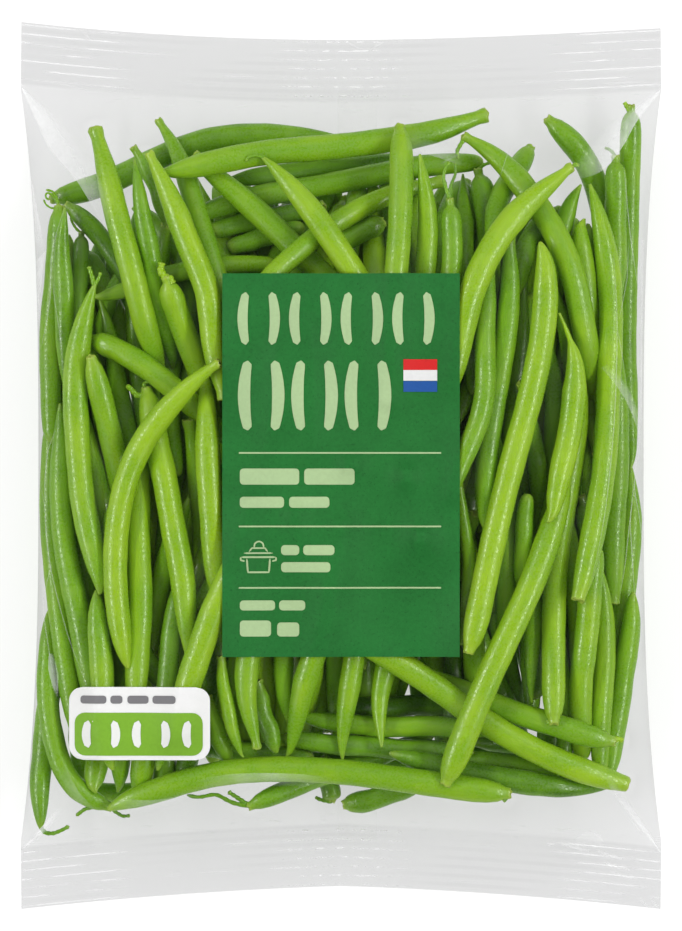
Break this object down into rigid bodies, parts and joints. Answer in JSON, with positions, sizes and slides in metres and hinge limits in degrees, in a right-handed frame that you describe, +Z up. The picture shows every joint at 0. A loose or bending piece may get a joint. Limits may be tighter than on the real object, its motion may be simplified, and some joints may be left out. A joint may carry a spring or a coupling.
{
  "type": "bag of green beans",
  "caption": "Sealed clear film pillow bag packed with fine green beans, with a green front label and a small white sticker, lying on its back.",
  "frame": {"origin": "middle of the footprint, on the surface that the bag lies on", "axes": "+X across the bag, +Y along it to the top seal, +Z up out of the labelled front"},
  "size_m": [0.1946, 0.27, 0.0483],
  "materials": {
    "clear_film": "clear glossy film, crimped at both ends",
    "label_green": "matt printed paper, plain green",
    "sticker_white": "satin white paper, rounded corners",
    "bean_green": "fresh satin bean skin, bright yellow-green",
    "bean_deep": "fresh satin bean skin, deeper green"
  },
  "bodies": {
    "root": {"bean_01": "bean_green", "bean_02": "bean_green", "bean_03": "bean_green", "bean_04": "bean_green", "bean_05": "bean_green", "bean_06": "bean_green", "bean_07": "bean_green", "bean_08": "bean_green", "bean_09": "bean_green", "bean_10": "bean_green", "bean_11": "bean_green", "bean_12": "bean_green", "bean_13": "bean_green", "bean_14": "bean_green", "bean_15": "bean_green", "bean_16": "bean_green", "bean_17": "bean_green", "bean_18": "bean_green", "bean_19": "bean_green", "bean_20": "bean_green", "bean_21": "bean_green", "bean_22": "bean_green", "bean_23": "bean_green", "bean_24": "bean_green", "bean_25": "bean_green", "bean_26": "bean_green", "bean_27": "bean_green", "bean_28": "bean_green", "bean_29": "bean_green", "bean_30": "bean_green", "bean_31": "bean_green", "bean_32": "bean_green", "bean_33": "bean_green", "bean_34": "bean_green", "bean_35": "bean_green", "bean_36": "bean_green", "bean_37": "bean_green", "bean_38": "bean_green", "bean_39": "bean_green", "bean_40": "bean_green", "bean_41": "bean_green", "bean_42": "bean_green", "bean_43": "bean_green", "bean_44": "bean_green", "bean_45": "bean_green", "beans_inner_01": "bean_deep", "beans_inner_02": "bean_deep", "beans_inner_03": "bean_deep", "beans_inner_04": "bean_deep", "beans_inner_05": "bean_deep", "beans_inner_06": "bean_deep", "beans_inner_07": "bean_deep", "beans_inner_08": "bean_deep", "beans_inner_09": "bean_deep", "beans_inner_10": "bean_deep", "beans_inner_11": "bean_deep", "beans_inner_12": "bean_deep", "film_bag": "clear_film", "front_label": "label_green", "sticker": "sticker_white"}
  },
  "joints": []
}
